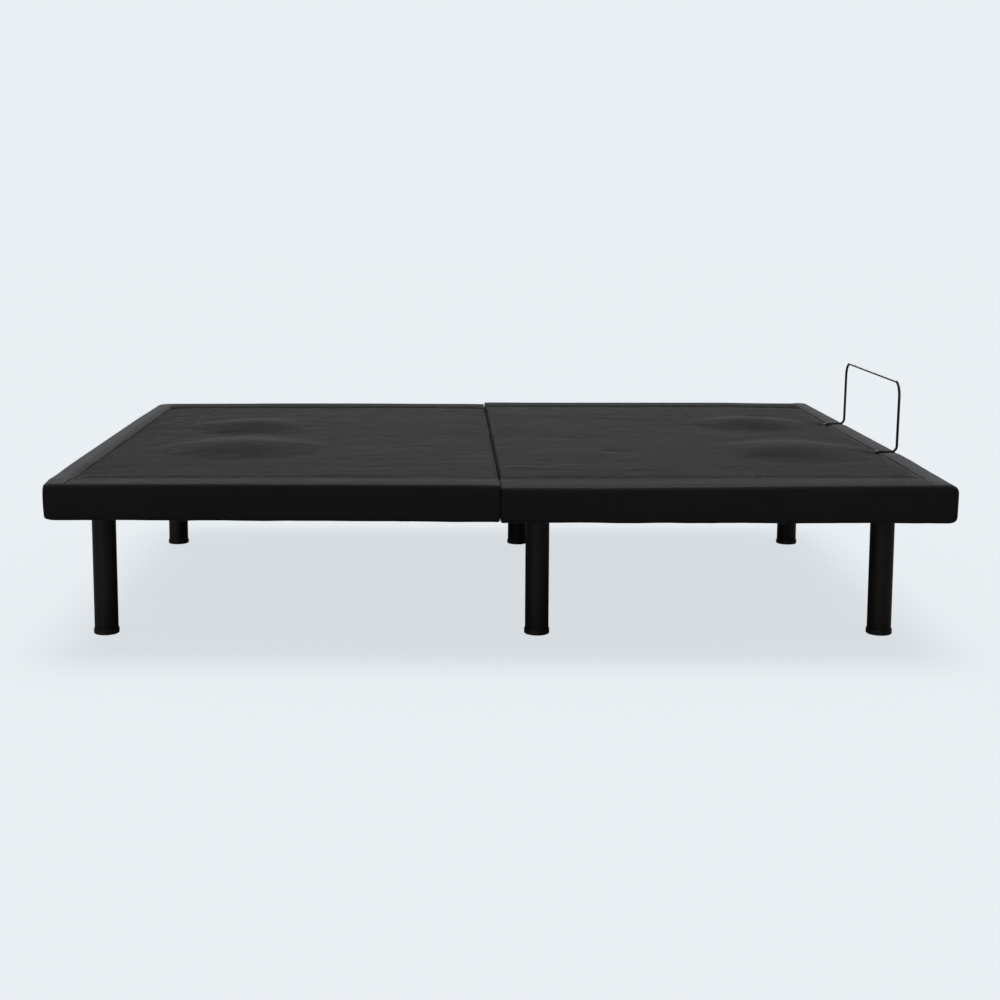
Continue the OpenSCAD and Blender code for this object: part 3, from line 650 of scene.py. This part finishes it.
def foot_half_lie(x, y, high, low, end):
    """The foot half is a little crowned, and droops along the side at -y near the split."""
    dz = high * 0.0030 * (1 - smooth(x, 0.70, 0.99)) * smooth(y, -0.80, 0.50)
    dz -= high * 0.0072 * smooth(-y, 0.58, 0.770) * (1 - 0.86 * smooth(x, 0.15, 0.95))
    rise = 0.0014 * smooth(y, -0.50, -0.36) - 0.0020 * bell(y, -0.60, 0.09)
    dz += high * smooth(end, SEAM_X - 0.002, SEAM_X + 0.012) * rise
    dz -= high * 0.0030 * smooth(end, 0.985, HALF_X) * smooth(-y, 0.60, HALF_Y)
    return dz - low * 0.0072


def settle(co, side):
    """Each half's own lie: heights over the top, and skirts that hang below the boards."""
    x, y, z = co.T
    high = smooth(z, TOP - 0.020, TOP - 0.002)
    low = smooth(TOP - 0.018 - z, 0.0, TOP - BOTTOM - 0.030)
    lie = head_half_lie if side < 0 else foot_half_lie
    co = co.copy()
    co[:, 2] += lie(x, y, high, low, np.abs(x))
    return co


# ---------------------------------------------------------------- upholstery: clearance
BOARD_TOP = 0.376
BOARD_X, BOARD_Y, BOARD_BOTTOM = 1.008, 0.755, 0.317   # the border boards' outer faces
BOARD_CORNER, BOARD_EDGE = 0.016, 0.010                # and their corner and lower edge radii
CLEAR = 0.0010                                         # how far the cloth stays outside them
CLEAR_EASE = 0.0004                                    # over which the push sets in
SPLIT_OPEN, SPLIT_SHUT = 0.0009, 0.00006   # half the gap at the split: at its edges, between


def board_distance(co):
    """Signed distance to the outline of the boards under the skirts."""
    q = np.abs(co[:, :2]) - (BOARD_X - BOARD_CORNER, BOARD_Y - BOARD_CORNER)
    plan = np.hypot(*np.maximum(q, 0).T) + np.minimum(q.max(1), 0) - BOARD_CORNER
    under = np.maximum(BOARD_BOTTOM + BOARD_EDGE - co[:, 2], 0)
    far = plan
    for axis, face in ((0, BOARD_X), (1, BOARD_Y)):
        beyond = np.abs(co[:, axis]) - face
        rounded = np.hypot(np.maximum(beyond + BOARD_EDGE, 0), under) - BOARD_EDGE
        far = np.maximum(far, np.where(under > 0, rounded, beyond))
    return far


def keep_clear(co, rest, nrm, side):
    """Skirts stay outside the border boards, and the walls at the split all but touch."""
    short = CLEAR - board_distance(co)
    push = 0.5 * (short + np.sqrt(short ** 2 + CLEAR_EASE ** 2))
    weight = smooth(BOARD_TOP - rest[:, 2], -0.006, 0.0)
    weight *= 1 - (np.abs(rest[:, 0]) < 0.05) * smooth(np.abs(nrm[:, 0]), 0.3, 0.6)
    flat = nrm * (1, 1, 0.4)
    co = co + flat * (weight * push / np.maximum(np.linalg.norm(flat, axis=1), 0.3))[:, None]
    at_split = (np.abs(rest[:, 0]) < 0.002) & (np.abs(nrm[:, 0]) > 0.8)
    meet = smooth(TOP - 0.012 - rest[:, 2], 0.0, 0.012) * smooth(rest[:, 2] - BOTTOM, 0.010, 0.020)
    half_gap = SPLIT_OPEN + (SPLIT_SHUT - SPLIT_OPEN) * meet
    co[:, 0] = np.where(at_split, side * half_gap, co[:, 0])
    return co


# ---------------------------------------------------------------- upholstery: meshes
SWELL = 0.0035                          # the most that the cloth may rise in the simulation
SWELL_FRAMES = 16
BAND_HELD = 0.75                        # share of the swell that the border band loses
HEAD_SPLIT_SHADE, FOOT_SPLIT_SHADE = 0.0012, 0.0025   # a face this near x = 0 gets the painted shade on the walls at the split
ROLL_HIGHLIGHT, BAND_HIGHLIGHT = 0.0935, 0.044      # painted highlight lines along the long sides: how far each is from the sewn line


def new_mesh(name, co, faces):
    me = bpy.data.meshes.new(name)
    me.from_pydata(co.tolist(), [], faces)
    me.update()
    return me


def new_object(name, data):
    o = bpy.data.objects.new(name, data)
    scene.collection.objects.link(o)
    return o


def rows_of_three(items, key):
    """One vector attribute of a mesh's vertices or polygons, as an array."""
    values = np.empty(len(items) * 3)
    items.foreach_get(key, values)
    return values.reshape(-1, 3)


def points(me):
    return rows_of_three(me.vertices, "co")


def normals(me):
    return rows_of_three(me.vertices, "normal")


def evaluated(o):
    return o.evaluated_get(bpy.context.evaluated_depsgraph_get())


def swell(name, co, faces):
    """How far each point of the cover moves when a cloth simulation blows it against its
    seams and staples for a moment."""
    me = new_mesh(name, co, faces)
    o = new_object(name, me)
    pins = o.vertex_groups.new(name="pins")
    held = np.abs(seam_distance(co)) < STEP * 0.55
    held |= co[:, 2] < BOTTOM + 0.012
    pins.add([int(k) for k in np.nonzero(held)[0]], 1.0, "REPLACE")
    mod = o.modifiers.new("cloth", "CLOTH")
    cloth = mod.settings
    cloth.quality = 4
    cloth.mass = 0.35
    cloth.tension_stiffness = cloth.compression_stiffness = 12.0
    cloth.shear_stiffness = 4.0
    cloth.bending_stiffness = 0.4
    cloth.vertex_group_mass = "pins"
    cloth.shrink_min = -0.004
    cloth.use_pressure = True
    cloth.uniform_pressure_force = 2.5
    cloth.effector_weights.gravity = 0.0
    mod.collision_settings.use_collision = False
    mod.point_cache.frame_start, mod.point_cache.frame_end = 1, SWELL_FRAMES
    for frame_no in range(1, SWELL_FRAMES + 1):
        scene.frame_set(frame_no)
    moved = points(evaluated(o).to_mesh()) - co
    out_way = normals(me)
    scene.frame_set(1)
    bpy.data.objects.remove(o)
    # never more than SWELL, never inwards on the walls, and less on the band
    length = np.linalg.norm(moved, axis=1, keepdims=True)
    capped = moved * SWELL * np.tanh(length / SWELL) / np.maximum(length, 1e-9)
    inward = np.minimum((capped * out_way).sum(1), 0.0)
    capped -= out_way * (inward * (co[:, 2] < TOP - 0.012))[:, None]
    on_band = smooth(seam_distance(co), -0.010, 0.012)
    return capped * (1 - BAND_HELD * on_band)[:, None]


def subdivided(name, co, faces):
    o = new_object(name, new_mesh(name, co, faces))
    o.modifiers.new("subdivision", "SUBSURF").levels = 1
    me = bpy.data.meshes.new_from_object(evaluated(o))
    bpy.data.objects.remove(o)
    return me


def add_cloth_coordinates(me, rest, nrm):
    """UV in metres of cloth: the sheet laid out flat from the top over the edges."""
    drop = np.maximum(TOP - rest[:, 2], 0.0)
    w = np.abs(nrm)
    u = rest[:, 0] + np.sign(nrm[:, 0]) * drop * (w[:, 0] > w[:, 1])
    v = rest[:, 1] + np.sign(nrm[:, 1]) * drop * (w[:, 1] >= w[:, 0])
    loops = np.zeros(len(me.loops), int)
    me.loops.foreach_get("vertex_index", loops)
    layer = me.uv_layers.new(name="cloth")
    layer.data.foreach_set("uv", np.stack([u[loops], v[loops]], 1).ravel())


def add_attributes(me, rest, nrm, side):
    """What knit() reads: seam and end are distances outside the sewn line, all round and at
    the ends only, run is the way along it, pale is painted light on the end bands' tops, and
    painted_highlight draws painted highlight lines: one on each long side's roll, and one in the
    middle of the band at -y."""
    ex, ey = seam_offsets(rest)
    top = smooth(nrm[:, 2], 0.7, 0.95)
    wide, much = (0.016, 0.50) if side < 0 else (0.030, 0.40)
    # painted highlights: a line along each long side's roll, and a wider one on the band at -y
    painted_highlight = 0.38 * bell(ey, ROLL_HIGHLIGHT, 0.007)
    painted_highlight += much * bell(ey, BAND_HIGHLIGHT, wide) * smooth(-rest[:, 1], 0.0, 0.5)
    values = {"seam": np.where(top > 0.1, np.maximum(ex, ey), 1.0),
              # painted light on the end bands' tops only, not on their walls
              "pale": smooth(HALF_Y - np.abs(rest[:, 1]), 0.0, 0.025) * top,
              "painted_highlight": painted_highlight * top * (1 - smooth(ex, 0.0, 0.01)),
              "end": np.where(top > 0.1, ex, 1.0),
              "run": np.where(ex > ey, rest[:, 1], rest[:, 0])}
    for key, value in values.items():
        attribute = me.attributes.new(key, "FLOAT", "POINT")
        attribute.data.foreach_set("value", value.astype(np.float32))


def dress(me):
    """The cloth's materials: main panel, border band, and the painted shade for the walls at the
    split.
    """
    for material in (FABRIC, BAND, SPLIT_SHADE):
        me.materials.append(material)


def make_half(name, x0, x1, side):
    """One half of the upholstery, side -1 at the head and 1 at the foot. The flat mesh says
    where each point was before it moved."""
    co, faces = block(x0, x1)
    flat = subdivided(name + "_flat", co, faces)
    rest, nrm = points(flat), normals(flat)
    me = subdivided(name, co + swell(name + "_sim", co, faces), faces)
    shaped = settle(points(me) + nrm * shape_field(rest, nrm)[:, None], side)
    me.vertices.foreach_set("co", keep_clear(shaped, rest, nrm, side).ravel())
    add_attributes(me, rest, nrm, side)
    add_cloth_coordinates(me, rest, nrm)
    me.polygons.foreach_set("use_smooth", np.ones(len(me.polygons), bool))
    dress(me)
    mid = rows_of_three(flat.polygons, "center")
    slot = (seam_distance(mid) > 0).astype(np.int32)
    # faces by the split get the painted shade material
    slot[np.abs(mid[:, 0]) < (HEAD_SPLIT_SHADE if side < 0 else FOOT_SPLIT_SHADE)] = 2
    me.polygons.foreach_set("material_index", slot)
    me.update()
    return new_object(name, me)


def cut(o, name, x, keep_low):
    """A copy of o with only what lies on one side of the plane x."""
    bm = bmesh.new()
    bm.from_mesh(o.data)
    bmesh.ops.bisect_plane(bm, geom=bm.verts[:] + bm.edges[:] + bm.faces[:],
                           plane_co=(x, 0, 0), plane_no=(1, 0, 0),
                           clear_outer=keep_low, clear_inner=not keep_low)
    me = bpy.data.meshes.new(name)
    bm.to_mesh(me)
    bm.free()
    dress(me)
    return new_object(name, me)


# ---------------------------------------------------------------- upholstery: pieces
SPLIT = 0.370                           # in the thigh panel, between its two bends

head_half = make_half("upholstery_head_half", -HALF_X, -GAP, -1)
foot_half = make_half("upholstery_foot_half", GAP, HALF_X, 1)
thigh_part = cut(foot_half, "upholstery_seat_thigh", SPLIT, True)
foot_part = cut(foot_half, "upholstery_thigh_foot", SPLIT, False)
bpy.data.objects.remove(foot_half)


def hinge_blend(o):
    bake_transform(o)


hinge_blend(head_half)
hinge_blend(thigh_part)
hinge_blend(foot_part)
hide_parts("head_cover", "head_pad", "seat_cover_head", "seat_pad_head")
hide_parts("seat_cover_foot", "seat_pad_foot", "thigh_cover", "thigh_pad")
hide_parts("foot_cover", "foot_pad")


# ---------------------------------------------------------------- stage and light
FLOOR_GLOW = (0.665, 0.704, 0.736)      # linear colours from here on
FLOOR_SHADE = grey(0.290)               # what a shadow takes off the floor that is seen
FLOOR_BOUNCE = grey(0.35)               # what the floor throws on the object
SKY_SEEN = (0.823, 0.863, 0.896)
SKY_LIT = (0.15, 0.15, 0.153)
LIGHTS_FROM = (0.0, 0.5, 4.0)


def emptied(owner):
    """The node tree of a material or world, without its first nodes."""
    owner.use_nodes = True
    owner.node_tree.nodes.clear()
    return owner.node_tree


def coloured(tree, kind, colour):
    n = tree.nodes.new(kind)
    n.inputs[0].default_value = rgba(colour)
    return n.outputs[0]


def either(tree, kind, switch, no, yes):
    """Mixes two shaders by an output of a Light Path or Geometry node."""
    n = tree.nodes.new("ShaderNodeMixShader")
    for k, socket in enumerate((tree.nodes.new(kind).outputs[switch], no, yes)):
        tree.links.new(socket, n.inputs[k])
    return n.outputs[0]


def stage_material():
    """Pale floor: what the camera sees is pale, and what it throws on the object is dim. It
    is one-sided, so that the underside of the bed can be seen through it from below."""
    mat = bpy.data.materials.new("floor")
    tree = emptied(mat)
    add = tree.nodes.new("ShaderNodeAddShader")
    tree.links.new(coloured(tree, "ShaderNodeEmission", FLOOR_GLOW), add.inputs[0])
    tree.links.new(coloured(tree, "ShaderNodeBsdfDiffuse", FLOOR_SHADE), add.inputs[1])
    bounce = coloured(tree, "ShaderNodeBsdfDiffuse", FLOOR_BOUNCE)
    front = either(tree, "ShaderNodeLightPath", "Is Camera Ray", bounce, add.outputs[0])
    clear = tree.nodes.new("ShaderNodeBsdfTransparent").outputs[0]
    surface = either(tree, "ShaderNodeNewGeometry", "Backfacing", front, clear)
    out = tree.nodes.new("ShaderNodeOutputMaterial")
    tree.links.new(surface, out.inputs[0])
    return mat


def light_world():
    """A pale background to the camera, and a dim even light to everything else."""
    scene.world = bpy.data.worlds.new("studio")
    tree = emptied(scene.world)
    lit = coloured(tree, "ShaderNodeBackground", SKY_LIT)
    seen = coloured(tree, "ShaderNodeBackground", SKY_SEEN)
    out = tree.nodes.new("ShaderNodeOutputWorld")
    tree.links.new(either(tree, "ShaderNodeLightPath", "Is Camera Ray", lit, seen), out.inputs[0])


def distant(name, strength, spread, tilt, turn=0.0):
    """A broad distant light: tilt from overhead towards the back, turn about Z, in degrees."""
    data = bpy.data.lights.new(name, "SUN")
    data.energy = strength
    data.angle = math.radians(spread)
    o = new_object(name, data)
    o.location = LIGHTS_FROM
    o.rotation_euler = (math.radians(-tilt), 0.0, math.radians(turn))
    return o


bpy.ops.mesh.primitive_plane_add(size=FLOOR_SIZE, location=(0, 0, 0))
floor = bpy.context.active_object
floor.name = "floor"
floor.data.materials.append(stage_material())
light_world()

distant("softbox", strength=1.25, spread=36.0, tilt=6.0)
back = distant("backlight", strength=0.95, spread=24.0, tilt=66.0)
fill = distant("fill", strength=0.60, spread=60.0, tilt=-68.0, turn=-24.0)
# the back and fill lights reach everything but the floor
receivers = bpy.data.collections.new("backlight_receivers")
receivers.objects.link(floor)
receivers.collection_objects[0].light_linking.link_state = "EXCLUDE"
for lamp in (back, fill):
    lamp.light_linking.receiver_collection = receivers
